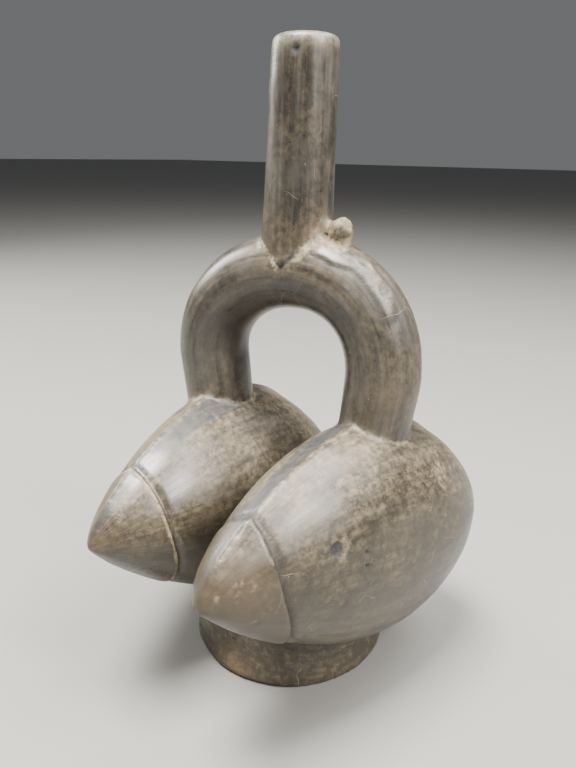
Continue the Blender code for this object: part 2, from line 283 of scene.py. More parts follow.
# How much of the deposit each place holds, and of the film each form, from 0 to 1
LEG_SEAM_DEPOSIT = 0.80
UPPER_SEAM_DEPOSIT = 0.34
LOWER_SEAM_DEPOSIT = 0.30
THIN_SEAM_DEPOSIT = 0.50
KEEL_DEPOSIT = 0.34
LAYER_DEPOSIT = 0.30
CREASE_DEPOSIT = 0.90
# The caps' raised lips take a painted highlight in the deposit's pale colour, right and left
RIGHT_LIP_HIGHLIGHT = 0.30
LEFT_LIP_HIGHLIGHT = 0.75
FORM_DEPOSIT = {
    RIGHT_LOBE: 0, LEFT_LOBE: 0, FOOT: 0.26, STIRRUP: 0,
    SPOUT: 0, KNOB: 0.50, KNOB_NECK: 0.75, SMEAR: 0.58,
}
FORM_FILM = {
    RIGHT_LOBE: 1.0, LEFT_LOBE: 0.9, FOOT: 0.8, STIRRUP: 0.35,
    SPOUT: 0.30, KNOB: 0.8, KNOB_NECK: 0.9, SMEAR: 0.9,
}
FILM_BLEND_PASSES = 8

# How strongly shade is painted into the hollows and along the steps, from 0 to 1; a pit takes painted shade
# from its first depth to its second
PIT_SHADE = 0.95
PIT_SHADE_DEPTHS = (0.075 * MM, 0.30 * MM)
PIT_REACH = 0.02
# Painted shade along the caps' cut lines, on the right and on the left lobe
RIGHT_CUT_SHADE = 0.80
LEFT_CUT_SHADE = 0.20
CREASE_SHADE = 0.85
SCARP_SHADE = 0.70

# How far below the spout's rim the wear starts, and where it is full
WORN_RIM = (6 * MM, 1.5 * MM)

# Burnishing strokes: the lobes' radius in the pattern, the step between the forms' patterns, the height
# at which the spout's axis is taken, and bumps per metre along a stroke, across it and from form to form
LOBE_STROKE_RADIUS = 25 * MM
PATTERN_STEP = 0.1
STROKE_MIDDLE = 0.85 * RIM_HEIGHT
STREAK_SCALE = (20, 380, 50)
FINE_STREAK_SCALE = (60, 2600, 50)
RUBBED_SCALE = (70, 520, 50)

# Colours, as linear red, green and blue
SOOT = (0.016, 0.0155, 0.015, 1)
GREY_CLAY = (0.056, 0.051, 0.044, 1)
BROWN_CLAY = (0.074, 0.055, 0.034, 1)
PALE_STROKE = (0.130, 0.124, 0.112, 1)
DARK_STROKE = (0.010, 0.010, 0.011, 1)
# Painted shade: the brown that the lower parts are darkened towards
LOW_SHADE_BROWN = (0.026, 0.021, 0.014, 1)
FILM_TAN = (0.265, 0.205, 0.125, 1)
# Painted reflection and shade on the keel's far flank
BAND_REFLECTION_GREY = (0.034, 0.038, 0.043, 1)
CAP_BROWN = (0.048, 0.036, 0.023, 1)
WARM_CLAY = (0.240, 0.150, 0.080, 1)
RIM_TAN = (0.210, 0.185, 0.145, 1)
SCRATCH_PALE = (0.30, 0.27, 0.21, 1)
DEPOSIT_BROWN = (0.105, 0.076, 0.043, 1)
DEPOSIT_TAN = (0.345, 0.280, 0.175, 1)
SPECK_PALE = (0.33, 0.29, 0.22, 1)
# Painted shade in the pits, the caps' cut lines, the crease and the flaked layer's foot
SHADE_BLACK = (0.006, 0.007, 0.008, 1)
FLOOR_PALE = (0.22, 0.217, 0.21, 1)
LAMP_WARM = (1.0, 0.965, 0.90)
STUDIO_PALE = (0.86, 0.88, 0.90, 1)

# How strongly the parts of the finish show
# How strongly shade is painted on the lower parts
LOW_SHADE_STRENGTH = 0.85
FILM_STRENGTH = 0.72
LEAST_FILM = 0.40
# How much of the film is left low down, where shade is painted
LOW_SHADE_FILM = 0.70
# How strongly the keel's far flank takes its painted reflection and shade
BAND_REFLECTION_STRENGTH = 0.72
WARM_STRENGTH = 0.80
SCRATCH_STRENGTH = 0.40
DEPOSIT_STRENGTH = 0.80
SPECULAR_LEVEL = 0.55
BUMP_STRENGTH = 0.55
BUMP_HEIGHT = 0.35 * MM

# How much rougher the layers over the clay are
DEPOSIT_DULLS = 0.40
FILM_DULLS = 0.16
WARM_DULLS = 0.20
DARK_DULLS = 0.40

# How high the parts of the fine relief stand, in shares of BUMP_HEIGHT
STREAK_RELIEF = 0.20
FINE_STREAK_RELIEF = 0.12
GRAIN_RELIEF = 0.12
DEPOSIT_RELIEF = 1.2
SCRATCH_RELIEF = 0.25

# Shade is painted onto the clay's lower parts: darkest below the second height and not darkened above the
# first, with the wobble added
LOW_SHADE_HEIGHTS = (128 * MM, 80 * MM)
LOW_SHADE_WOBBLE = 50 * MM

# Noises of the finish, in bumps per metre
CLOUD_SCALE = 38.0
BROWN_SCALE = 17.0
BROWN_STRETCH = (1, 1, 1.3)
GRAIN_SCALE = 1400.0
SPECK_SCALE = 520.0
FILM_SCALE = 22.0
MOTTLE_SCALE = 420.0
DEPOSIT_SCALE = 210.0
CRUST_SCALE = 260.0

# Scratches lie on the edges of bent cells: cells, bends and breaks per metre, and how far the bends go
SCRATCH_CELLS = 62.0
SCRATCH_BENDS = 90.0
SCRATCH_BREAKS = 60.0
SCRATCH_BEND = 7 * MM

# The studio: floor, even light, and the soft lights' place and size in metres and power in watts
FLOOR_REACH = 12.0
FLOOR_ROUGHNESS = 0.75
STUDIO_LIGHT = 0.18
LIGHT_AIM = Vector((0, 0, 0.09))
LIGHTS = {
    "key": (Vector((-0.06, -0.20, 1.05)), (0.46, 0.36), 52),
    "overhead": (Vector((0.30, 0.30, 0.95)), (0.5, 0.4), 14),
    "side": (Vector((-0.95, 0.0, 0.6)), (0.3, 0.5), 14),
    "right": (Vector((0.75, 0.0, 0.75)), (0.22, 0.5), 20),
}


def pot_to_part():
    """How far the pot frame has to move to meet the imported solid: the ring foot's centre tells."""
    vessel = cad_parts["stirrup_spout_vessel"]
    on_floor = [vertex.co for vertex in vessel.data.vertices if vertex.co.z < ON_FLOOR]
    middle = [
        (min(point[axis] for point in on_floor) + max(point[axis] for point in on_floor)) / 2
        for axis in range(2)
    ]
    return Vector((*middle, 0)) - FOOT_CENTRE


SHIFT = pot_to_part()


def photo_camera():
    """The photograph's camera, and a function that gives the ray through one of its pixels."""
    yaw, pitch, roll = CAMERA_YAW, CAMERA_PITCH, CAMERA_ROLL
    across = Vector((math.cos(yaw), math.sin(yaw), 0))
    ahead = Vector((-math.sin(yaw), math.cos(yaw), 0))
    up_axis = Vector((0, 0, 1))
    place = -(across * CAMERA_SIDE + ahead * CAMERA_DISTANCE) + up_axis * CAMERA_HEIGHT + SHIFT
    forward = ahead * math.cos(pitch) - up_axis * math.sin(pitch)
    above = ahead * math.sin(pitch) + up_axis * math.cos(pitch)
    right = across * math.cos(roll) + above * math.sin(roll)
    top = above * math.cos(roll) - across * math.sin(roll)
    camera = bpy.data.objects.new("camera", bpy.data.cameras.new("camera"))
    camera.matrix_world = Matrix((
        (right.x, top.x, -forward.x, place.x),
        (right.y, top.y, -forward.y, place.y),
        (right.z, top.z, -forward.z, place.z),
        (0, 0, 0, 1),
    ))
    camera.data.sensor_fit = "HORIZONTAL"
    camera.data.sensor_width = SENSOR_WIDTH
    camera.data.lens = FOCAL_PIXELS / PHOTO_WIDTH * SENSOR_WIDTH
    camera.data.clip_start = NEAREST_SEEN
    bpy.context.scene.collection.objects.link(camera)
    bpy.context.scene.camera = camera

    def ray(x, y):
        aside = (x - PHOTO_WIDTH / 2) / FOCAL_PIXELS
        raised = (PHOTO_HEIGHT / 2 - y) / FOCAL_PIXELS
        return place, (forward + right * aside + top * raised).normalized()

    return ray


def swell(share, growth):
    """0 at both ends of an axis and 1 at its peak; growth holds the powers at the nose and at the rear."""
    at_nose, at_rear = growth
    peak = at_nose / (at_nose + at_rear)
    highest = peak**at_nose * (1 - peak) ** at_rear
    return share**at_nose * (1 - share) ** at_rear / highest


def lobe_frame(nose, rear):
    """The lobe's length and its three directions: along the axis, sideways to +X, and up."""
    along = rear - nose
    length = along.length
    along.normalize()
    side = along.cross(Vector((0, 0, 1))).normalized()
    return length, along, side, side.cross(along)


def crest_power(share, outer):
    """The keel is sharp at the nose and fades out under the stirrup's leg."""
    if not outer:
        return INNER_CREST_POWER
    faded = min(1, share / KEEL_SHARE)
    return NOSE_CREST_POWER + (REAR_CREST_POWER - NOSE_CREST_POWER) * faded


def lobe_point(nose, rear, share, angle, inset=0.0):
    """A point of the lobe's skin with its keel, or of its chamber's skin when inset is the wall."""
    length, along, side, up = lobe_frame(nose, rear)
    outward = 1 if nose.x > 0 else -1
    cosine, sine = math.cos(angle), math.sin(angle)
    outer = cosine * outward > 0
    half_width = OUTER_HALF_WIDTH if outer else INNER_HALF_WIDTH
    width = (half_width - inset) * swell(share, OUTER_GROWTH if outer else INNER_GROWTH)
    if sine > 0:
        height = (HEIGHT_ABOVE_AXIS - inset) * swell(share, UPPER_GROWTH)
        power = crest_power(share, outer)
        across = math.copysign(max(0.0, 1 - sine * sine) ** (1 / power), cosine) * width
    else:
        height = (DEPTH_BELOW_AXIS - inset) * swell(share, LOWER_GROWTH)
        across = cosine * width
    rise = sine * height
    if not inset:
        reach = math.hypot(across, rise)
        keel = KEEL_RISE * math.exp(-(((angle - math.pi / 2) / KEEL_HALF_ANGLE) ** 2))
        stretch = 1 + keel * min(1, reach / RELIEF_FADE) / reach
        across *= stretch
        rise *= stretch
    middle = nose + along * (share * length) + up * (4 * AXIS_BOW * share * (1 - share))
    return middle + side * across + up * rise


def solid_from_rings(name, rings, start, end):
    """One closed mesh through rings of points in the pot frame, drawn to a point at both ends."""
    shape = bmesh.new()
    loops = [[shape.verts.new(point + SHIFT) for point in ring] for ring in rings]
    sides = len(loops[0])
    for near, far in zip(loops, loops[1:]):
        for k in range(sides):
            shape.faces.new((near[k], near[(k + 1) % sides], far[(k + 1) % sides], far[k]))
    for loop, point, turn in ((loops[0], start, True), (loops[-1], end, False)):
        tip = shape.verts.new(point + SHIFT)
        for k in range(sides):
            pair = (loop[(k + 1) % sides], loop[k]) if turn else (loop[k], loop[(k + 1) % sides])
            shape.faces.new((*pair, tip))
    bmesh.ops.recalc_face_normals(shape, faces=shape.faces)
    if shape.calc_volume(signed=True) < 0:
        bmesh.ops.reverse_faces(shape, faces=shape.faces)
    mesh = bpy.data.meshes.new(name)
    shape.to_mesh(mesh)
    shape.free()
    thing = bpy.data.objects.new(name, mesh)
    bpy.context.scene.collection.objects.link(thing)
    return thing


def angles(sides):
    return [math.tau * k / sides for k in range(sides)]


def eased(count):
    """Shares from 0 to 1, closer together towards both ends."""
    return [(1 - math.cos(math.pi * step / count)) / 2 for step in range(1, count)]


def lobe(name, nose, rear):
    rings = [
        [lobe_point(nose, rear, share, angle) for angle in angles(LOBE_SIDES)]
        for share in eased(LOBE_RINGS)
    ]
    return solid_from_rings(name, rings, nose, rear)


def chamber(name, nose, rear):
    inside_nose = nose.lerp(rear, CHAMBER_START)
    inside_rear = nose.lerp(rear, CHAMBER_END)
    rings = [
        [
            inside_nose + lobe_point(nose, rear, share, angle, LOBE_WALL) - nose.lerp(rear, share)
            + (inside_rear - inside_nose) * share
            for angle in angles(CHAMBER_SIDES)
        ]
        for share in eased(CHAMBER_RINGS)
    ]
    return solid_from_rings(name, rings, inside_nose, inside_rear)


def stirrup_line():
    """The stirrup's centre line with the tube's radius at each point, from right leg to left leg."""
    line = []
    leg_length = ARCH_FOOT_Z - LEG_END_Z
    for step in range(LEG_STEPS):
        drop = leg_length * (1 - step / LEG_STEPS)
        radius = ARCH_TUBE_RADIUS + (LEG_TUBE_RADIUS - ARCH_TUBE_RADIUS) * drop / leg_length
        line.append((ARCH_HALF_SPAN - LEG_LEAN * drop, ARCH_FOOT_Z - drop, radius))
    for step in range(ARCH_STEPS + 1):
        angle = math.pi * step / ARCH_STEPS
        cosine, sine = math.cos(angle), max(0.0, math.sin(angle))
        across = math.copysign(abs(cosine) ** (2 / ARCH_SQUARENESS), cosine) * ARCH_HALF_SPAN
        height = sine ** (2 / ARCH_SQUARENESS) * ARCH_RISE + ARCH_SLANT * math.sin(2 * angle)
        line.append((across, ARCH_FOOT_Z + height, ARCH_TUBE_RADIUS))
    line += [(-across, height, radius) for across, height, radius in reversed(line[:LEG_STEPS])]
    turn = Matrix.Rotation(STIRRUP_TURN, 3, "Z")
    shift = Vector((0, STIRRUP_CENTRE_Y, 0))
    plumped = []
    for across, height, radius in line:
        radius += LEFT_EXTRA_RADIUS * (0.5 - 0.5 * across / ARCH_HALF_SPAN)
        plumped.append((turn @ Vector((across, 0, height)) + shift, radius))
    return plumped


def stirrup_tube(name, inset, sides):
    line = stirrup_line()
    plane_normal = Matrix.Rotation(STIRRUP_TURN, 3, "Z") @ Vector((0, 1, 0))
    rings = []
    for k, (centre, radius) in enumerate(line):
        ahead = line[min(k + 1, len(line) - 1)][0] - line[max(k - 1, 0)][0]
        across = ahead.normalized().cross(plane_normal)
        rings.append([
            centre + (radius - inset) * (math.cos(angle) * across + math.sin(angle) * plane_normal)
            for angle in angles(sides)
        ])
    return solid_from_rings(name, rings, line[0][0], line[-1][0])


def turned(name, profile, axis_at, sides):
    """A turned solid: profile is (radius, z) from bottom to top, and axis_at(z) is the axis there."""
    rings = [
        [
            axis_at(z) + Vector((radius * math.cos(angle), radius * math.sin(angle), 0))
            for angle in angles(sides)
        ]
        for radius, z in profile
    ]
    return solid_from_rings(name, rings, axis_at(profile[0][1]), axis_at(profile[-1][1]))


def spout_axis(z):
    climbed = (z - ARCH_CROWN_Z) / (RIM_HEIGHT - ARCH_CROWN_Z)
    return Vector((0, STIRRUP_CENTRE_Y, z)) + SPOUT_LEAN * climbed


def spout(name):
    shoulder = RIM_HEIGHT - LIP_BEVEL_HEIGHT
    profile = []
    for row in range(SPOUT_ROWS + 1):
        share = row / SPOUT_ROWS
        radius = SPOUT_BASE_RADIUS + (SPOUT_TOP_RADIUS - SPOUT_BASE_RADIUS) * share
        profile.append((radius, ARCH_CROWN_Z + (shoulder - ARCH_CROWN_Z) * share))
    for step in range(1, LIP_STEPS + 1):
        turn = math.pi / 2 * step / LIP_STEPS
        profile.append((
            SPOUT_TOP_RADIUS - LIP_BEVEL_WIDTH * (1 - math.cos(turn)),
            shoulder + LIP_BEVEL_HEIGHT * math.sin(turn),
        ))
    return turned(name, profile, spout_axis, SPOUT_SIDES)


def bore(name):
    profile = [
        (BORE_BASE_RADIUS, ARCH_CROWN_Z),
        (BORE_TOP_RADIUS, RIM_HEIGHT - 3 * MOUTH_FLARE),
        (BORE_TOP_RADIUS + 0.3 * MOUTH_FLARE, RIM_HEIGHT - MOUTH_FLARE),
        (BORE_TOP_RADIUS + MOUTH_FLARE, RIM_HEIGHT),
        (BORE_TOP_RADIUS + 3 * MOUTH_FLARE, RIM_HEIGHT + CUT_PAST),
    ]
    return turned(name, profile, spout_axis, BORE_SIDES)


def foot_axis(z):
    return FOOT_CENTRE + Vector((0, 0, z))


def foot(name):
    profile = [
        (FOOT_RADIUS - FOOT_EDGE, 0),
        (FOOT_RADIUS - 0.3 * FOOT_EDGE, 0.3 * FOOT_EDGE),
        (FOOT_RADIUS, FOOT_EDGE),
    ]
    for step in range(1, FOOT_STEPS + 1):
        share = step / FOOT_STEPS
        flare = (FOOT_RADIUS - FOOT_TOP_RADIUS) * (1 - (1 - share) ** FOOT_FLARE_POWER)
        profile.append((FOOT_RADIUS - flare, FOOT_EDGE + (FOOT_HEIGHT - FOOT_EDGE) * share))
    for step in range(1, FOOT_STEPS):
        turn = math.pi / 2 * step / FOOT_STEPS
        profile.append((
            FOOT_TOP_RADIUS * math.cos(turn) ** FOOT_CROWN_POWER,
            FOOT_HEIGHT + (FOOT_CROWN_Z - FOOT_HEIGHT) * math.sin(turn),
        ))
    profile.append((FOOT_CROWN_RADIUS, FOOT_CROWN_Z))
    return turned(name, profile, foot_axis, FOOT_SIDES)


def recess(name):
    mouth = FOOT_RADIUS - FOOT_EDGE - FOOT_WALL
    profile = [(mouth + FOOT_EDGE, -CUT_PAST), (mouth + 0.6 * FOOT_EDGE, 0.4 * FOOT_EDGE)]
    for step in range(1, RECESS_STEPS):
        turn = math.pi / 2 * step / RECESS_STEPS
        profile.append((
            (mouth + 0.6 * FOOT_EDGE) * math.cos(turn),
            RECESS_DEPTH * math.sin(turn) ** RECESS_DOME_POWER,
        ))
    return turned(name, profile, foot_axis, RECESS_SIDES)


def lump(name):
    """A smooth lump of clay: an ellipsoid with its long axis along a direction."""
    centre, (across, along), lie = LUMPS[name]
    turn_to = Vector((0, 0, 1)).rotation_difference(lie.normalized()).to_matrix()
    rings = []
    for row in range(1, LUMP_RINGS):
        turn = math.pi * row / LUMP_RINGS
        girth = across * math.sin(turn)
        height = -along * math.cos(turn)
        rings.append([
            centre + turn_to @ Vector((girth * math.cos(angle), girth * math.sin(angle), height))
            for angle in angles(LUMP_SIDES)
        ])
    pole = turn_to @ Vector((0, 0, along))
    return solid_from_rings(name, rings, centre - pole, centre + pole)


def applied(thing):
    """Puts a thing's modifiers into its mesh."""
    shaped = thing.evaluated_get(bpy.context.evaluated_depsgraph_get())
    mesh = bpy.data.meshes.new_from_object(shaped)
    thing.modifiers.clear()
    thing.data = mesh
    return thing


def fused(name, things, grid):
    """One skin around several overlapping solids, as an even grid of quads; the solids are used up."""
    shape = bmesh.new()
    for thing in things:
        shape.from_mesh(thing.data)
    mesh = bpy.data.meshes.new(name)
    shape.to_mesh(mesh)
    shape.free()
    whole = bpy.data.objects.new(name, mesh)
    bpy.context.scene.collection.objects.link(whole)
    remesh = whole.modifiers.new("fuse", "REMESH")
    remesh.mode = "VOXEL"
    remesh.voxel_size = grid
    for thing in things:
        bpy.data.objects.remove(thing)
    return applied(whole)


def coordinates(mesh):
    flat = np.empty(len(mesh.vertices) * 3, dtype=np.float32)
    mesh.vertices.foreach_get("co", flat)
    return flat.reshape(-1, 3).astype(np.float64)


def normals(mesh):
    flat = np.empty(len(mesh.vertices) * 3, dtype=np.float32)
    mesh.vertices.foreach_get("normal", flat)
    return flat.reshape(-1, 3).astype(np.float64)


def move_to(mesh, points):
    mesh.vertices.foreach_set("co", points.astype(np.float32).ravel())
    mesh.update()


def smoothed(mesh, points, times, pull=0.5):
    """Takes the grid's small steps out of a skin."""
    edges = np.empty(len(mesh.edges) * 2, dtype=np.int32)
    mesh.edges.foreach_get("vertices", edges)
    edges = edges.reshape(-1, 2)
    counts = np.bincount(edges.ravel(), minlength=len(points))[:, None]
    for _ in range(times):
        total = np.zeros_like(points)
        for axis in range(3):
            total[:, axis] = np.bincount(edges[:, 0], points[edges[:, 1], axis], len(points))
            total[:, axis] += np.bincount(edges[:, 1], points[edges[:, 0], axis], len(points))
        points = points + pull * (total / counts - points)
    return points


def noise_at(points, scale, seed):
    """Smooth noise from about -1 to 1 at each point; scale is in bumps per metre."""
    offset = Vector([seed * shift for shift in NOISE_SHIFT])
    return np.array([noise.noise(Vector(point) * scale + offset) for point in points])


def smooth_step(low, high, value):
    share = np.clip((value - low) / (high - low), 0, 1)
    return share * share * (3 - 2 * share)


def bell(distance, width):
    """1 at no distance, and almost 0 from twice the width on."""
    return np.exp(-((distance / width) ** 2))


def array(vector):
    return np.array(tuple(vector))


def lobe_coordinates(points, nose, rear):
    """Where points lie on a lobe: share of its axis, angle, reach and direction off it, and its length."""
    length, along, side, up = lobe_frame(nose, rear)
    offset = points - array(nose + SHIFT)
    share = np.clip(offset @ array(along) / length, END_MARGIN, 1 - END_MARGIN)
    across = offset @ array(side)
    rise = offset @ array(up) - 4 * AXIS_BOW * share * (1 - share)
    outward = 1 if nose.x > 0 else -1
    outer = across * outward > 0
    width = np.where(
        outer,
        OUTER_HALF_WIDTH * swell(share, OUTER_GROWTH),
        INNER_HALF_WIDTH * swell(share, INNER_GROWTH),
    )
    upper = rise > 0
    height = np.where(
        upper,
        HEIGHT_ABOVE_AXIS * swell(share, UPPER_GROWTH),
        DEPTH_BELOW_AXIS * swell(share, LOWER_GROWTH),
    )
    faded = np.minimum(1, share / KEEL_SHARE)
    outer_power = NOSE_CREST_POWER + (REAR_CREST_POWER - NOSE_CREST_POWER) * faded
    power = np.where(outer, outer_power, INNER_CREST_POWER)
    cosine = np.abs(across) / width
    cosine = np.where(upper, cosine ** (power / 2), cosine) * np.sign(across)
    angle = np.arctan2(rise / height, cosine)
    reach = np.hypot(across, rise)
    out = across[:, None] * array(side) + rise[:, None] * array(up)
    out /= np.maximum(reach, LEAST_REACH)[:, None]
    return share, angle, reach, out, length


def cap_distance(share, angle, length):
    """How far behind the nose cap's edge a point of the lobe lies."""
    underside = (1 - np.sin(angle)) / 2
    return (share - (CAP_SHARE + CAP_DROOP * underside**CAP_DROOP_POWER)) * length


def cap_relief(behind, reach):
    rise = CAP_RISE * np.clip(-behind / CAP_CUT_HALF_WIDTH, 0, 1)
    cut = CAP_CUT * bell(behind, CAP_CUT_HALF_WIDTH)
    return (rise - cut) * np.minimum(1, reach / RELIEF_FADE)


def line_coordinates(points, line):
    """For each point: run along a line, nearest place on it, its direction there, and how far off it is."""
    line = np.array([tuple(point) for point in line])
    steps = np.diff(line, axis=0)
    lengths = np.linalg.norm(steps, axis=1)
    starts = np.concatenate(([0], np.cumsum(lengths)))
    best = np.full(len(points), np.inf)
    run = np.zeros(len(points))
    nearest = np.zeros_like(points)
    direction = np.zeros_like(points)
    for k, step in enumerate(steps):
        share = np.clip((points - line[k]) @ step / lengths[k] ** 2, 0, 1)
        place = line[k] + share[:, None] * step
        distance = np.linalg.norm(points - place, axis=1)
        closer = distance < best
        best = np.where(closer, distance, best)
        run = np.where(closer, starts[k] + share * lengths[k], run)
        nearest[closer] = place[closer]
        direction[closer] = step / lengths[k]
    return run, nearest, direction, best


def seen_places(tree, ray, marks):
    """The points of the skin that the photograph's pixels show."""
    places = []
    for mark in marks:
        start, way = ray(mark[0], mark[1])
        hit = tree.ray_cast(start, way)[0]
        if hit is not None:
            places.append((array(hit), mark))
    return places


def marked(points, places):
    """How strongly each point is marked: a mark's strength at its middle, fading out around its radius."""
    total = np.zeros(len(points))
    for place, (_, _, radius, strength) in places:
        distance = np.linalg.norm(points - place, axis=1)
        total = np.maximum(total, strength * bell(distance, radius * MM))
    return total


def set_attribute(mesh, name, values):
    kind = "FLOAT_VECTOR" if values.ndim == 2 else "FLOAT"
    layer = mesh.attributes.new(name, kind, "POINT")
    field = "vector" if values.ndim == 2 else "value"
    layer.data.foreach_set(field, values.astype(np.float32).ravel())


def outer_forms():
    return [
        lobe("right_lobe", *LOBE_ENDS[RIGHT_LOBE]),
        lobe("left_lobe", *LOBE_ENDS[LEFT_LOBE]),
        foot("foot"),
        stirrup_tube("stirrup", 0.0, TUBE_SIDES),
        spout("spout"),
        *(lump(name) for name in LUMPS),
    ]


def distances_to(points, trees):
    """The distance from each point to each form's own surface."""
    table = np.empty((len(trees), len(points)))
    for row, tree in enumerate(trees):
        table[row] = [tree.find_nearest(Vector(point))[3] for point in points]
    return table


def around(points, middle):
    return np.arctan2(points[:, 1] - middle.y, points[:, 0] - middle.x)


def stroke_coordinates(points, form):
    """Burnishing strokes run along each form: (run along the stroke, run across it, which form)."""
    strokes = np.zeros_like(points)

    def lay(on, along, across, number):
        strokes[on] = np.column_stack((along, across, np.full(on.sum(), PATTERN_STEP * number)))

    for number, (nose, rear) in LOBE_ENDS.items():
        on = form == number
        share, angle, _, _, length = lobe_coordinates(points[on], nose, rear)
        lay(on, share * length, angle * LOBE_STROKE_RADIUS, number)
    on = form == FOOT
    lay(on, around(points[on], FOOT_CENTRE + SHIFT) * FOOT_RADIUS, points[on, 2], FOOT)
    on = form == STIRRUP
    line = [centre + SHIFT for centre, _ in stirrup_line()]
    run, nearest, direction, _ = line_coordinates(points[on], line)
    plane_normal = array(Matrix.Rotation(STIRRUP_TURN, 3, "Z") @ Vector((0, 1, 0)))
    offset = points[on] - nearest
    sideways = np.cross(direction, plane_normal)
    turn = np.arctan2(offset @ plane_normal, np.sum(offset * sideways, axis=1))
    lay(on, run, turn * ARCH_TUBE_RADIUS, STIRRUP)
    on = form >= SPOUT
    middle = spout_axis(STROKE_MIDDLE) + SHIFT
    lay(on, points[on, 2], around(points[on], middle) * SPOUT_TOP_RADIUS, SPOUT)
    return strokes


def seen_line(tree, ray, pixels):
    return [place for place, _ in seen_places(tree, ray, pixels)]


def crease(points, line):
    """1 along a line on the skin, fading out beside it."""
    return bell(line_coordinates(points, line)[3], CREASE_WIDTH)


def capped(points, form, distances):
    """Raises the nose caps and cuts their edges, and tells where keel and cap lie, where the band takes its
    painted reflection and shade, where shade is painted along the caps' cut lines and where a highlight is
    painted along their lips, from 0 to 1.
    """
    lobes = {name: np.zeros(len(points)) for name in ("keel", "band_reflection", "cap", "cap_line", "cap_lip_highlight")}
    for number, (nose, rear) in LOBE_ENDS.items():
        on = (form == number) & (distances[number] < NEAR_LOBE)
        share, angle, reach, out, length = lobe_coordinates(points[on], nose, rear)
        behind = cap_distance(share, angle, length)
        points[on] += out * cap_relief(behind, reach)[:, None]
        lean = angle - math.pi / 2
        inward = lean * (1 if nose.x > 0 else -1)
        sides = smooth_step(*BAND_OUTER_EDGE, inward) * smooth_step(*BAND_INNER_EDGE, inward)
        lobes["band_reflection"][on] = sides * smooth_step(*BAND_REAR_END, share)
        lobes["keel"][on] = bell(lean, KEEL_MASK_ANGLE) * (share < KEEL_MASK_END)
        lobes["cap"][on] = smooth_step(CAP_BLEND, -CAP_BLEND, behind)
        lobes["cap_line"][on] = bell(behind, CAP_LINE_WIDTH)
        lobes["cap_lip_highlight"][on] = bell(behind + CAP_LIP_PLACE, CAP_LIP_WIDTH)
    return lobes


def hollow_depth(points, pits, chips, rough):
    """How deep the round pits and the ragged chips go at each point."""
    depth = np.zeros(len(points))
    for place, (_, _, radius, deep) in pits:
        share = np.linalg.norm(points - place, axis=1) / (radius * MM)
        depth = np.maximum(depth, deep * MM * np.exp(-(share**4)))
    for place, (_, _, radius, deep) in chips:
        share = np.linalg.norm(points - place, axis=1) / (radius * MM) + CHIP_RAGGEDNESS * rough
        depth = np.maximum(depth, deep * MM * smooth_step(CHIP_RIM, CHIP_FLOOR, share))
    return depth


def flaked_layer(points, out, form, line, rough):
    """Where the stirrup's flaked layer still stands, above the line, and how far off the line points are."""
    _, nearest, direction, away = line_coordinates(points, line)
    above = np.sum((points - nearest) * np.cross(out, direction), axis=1)
    middle_height = line[len(line) // 2][2]
    above *= np.sign(np.median(above[(away < SCARP_NEAR) & (points[:, 2] > middle_height)]))
    layer = smooth_step(*SCARP_EDGE, above + SCARP_RAGGEDNESS * rough)
    return layer * smooth_step(SCARP_REACH, SCARP_NEAR, away) * (form == STIRRUP), away


def by_form(values, form):
    """The value that belongs to the form each point lies on."""
    return np.array([values[number] for number in sorted(values)])[form]


def deposit_held(points, form, beside, lobes, layer, pale_crease, spots):
    """How much of the pale deposit, and of the painted highlight along the caps' lips, each point holds;
    beside is the distance to the second nearest form.
    """
    height = points[:, 2]
    patchy = PATCH_MIDDLE + PATCH_SWING * noise_at(points, *PATCH_NOISE)
    seam = bell(beside, SEAM_WIDTH)
    upper = height > UPPER_SEAMS_FROM
    leg_seam = seam * np.isin(form, (RIGHT_LOBE, LEFT_LOBE, STIRRUP)) * upper * (height < LEG_SEAMS_UP_TO)
    return np.maximum.reduce((
        spots,
        LEG_SEAM_DEPOSIT * leg_seam * patchy,
        UPPER_SEAM_DEPOSIT * patchy * bell(beside, WIDE_SEAM_WIDTH) * upper * (form < SPOUT),
        LOWER_SEAM_DEPOSIT * seam * (height < UPPER_SEAMS_FROM),
        THIN_SEAM_DEPOSIT * bell(beside, THIN_SEAM_WIDTH),
        KEEL_DEPOSIT * lobes["keel"],
        LAYER_DEPOSIT * layer,
        CREASE_DEPOSIT * pale_crease,
        # Painted highlight along the caps' raised lips
        np.where(form == LEFT_LOBE, LEFT_LIP_HIGHLIGHT, RIGHT_LIP_HIGHLIGHT) * lobes["cap_lip_highlight"],
        by_form(FORM_DEPOSIT, form),
    ))


def darkness(points, form, depth, pits, lobes, dark_crease, off_scarp):
    """How strongly shade is painted into the pits, the caps' cut lines, the crease and the foot of the
    flaked layer.
    """
    return np.maximum.reduce((
        # Painted shade in the pits, darker where they are deeper
        PIT_SHADE * smooth_step(*PIT_SHADE_DEPTHS, depth) * (marked(points, pits) > PIT_REACH),
        # Painted shade along the caps' cut lines
        np.where(form == RIGHT_LOBE, RIGHT_CUT_SHADE, LEFT_CUT_SHADE) * lobes["cap_line"],
        # Painted shade along the crease
        CREASE_SHADE * dark_crease,
        # Painted shade at the foot of the flaked layer's step
        SCARP_SHADE * bell(off_scarp, CREASE_WIDTH) * (form == STIRRUP),
    ))


def film_held(mesh, form):
    """How much of the tan film each point holds, blended across the seams."""
    film = by_form(FORM_FILM, form)
    return smoothed(mesh, np.repeat(film[:, None], 3, axis=1), FILM_BLEND_PASSES)[:, 0]


def surface_tree(thing):
    mesh = thing.data
    corners = [vertex.co.copy() for vertex in mesh.vertices]
    return BVHTree.FromPolygons(corners, [tuple(face.vertices) for face in mesh.polygons])


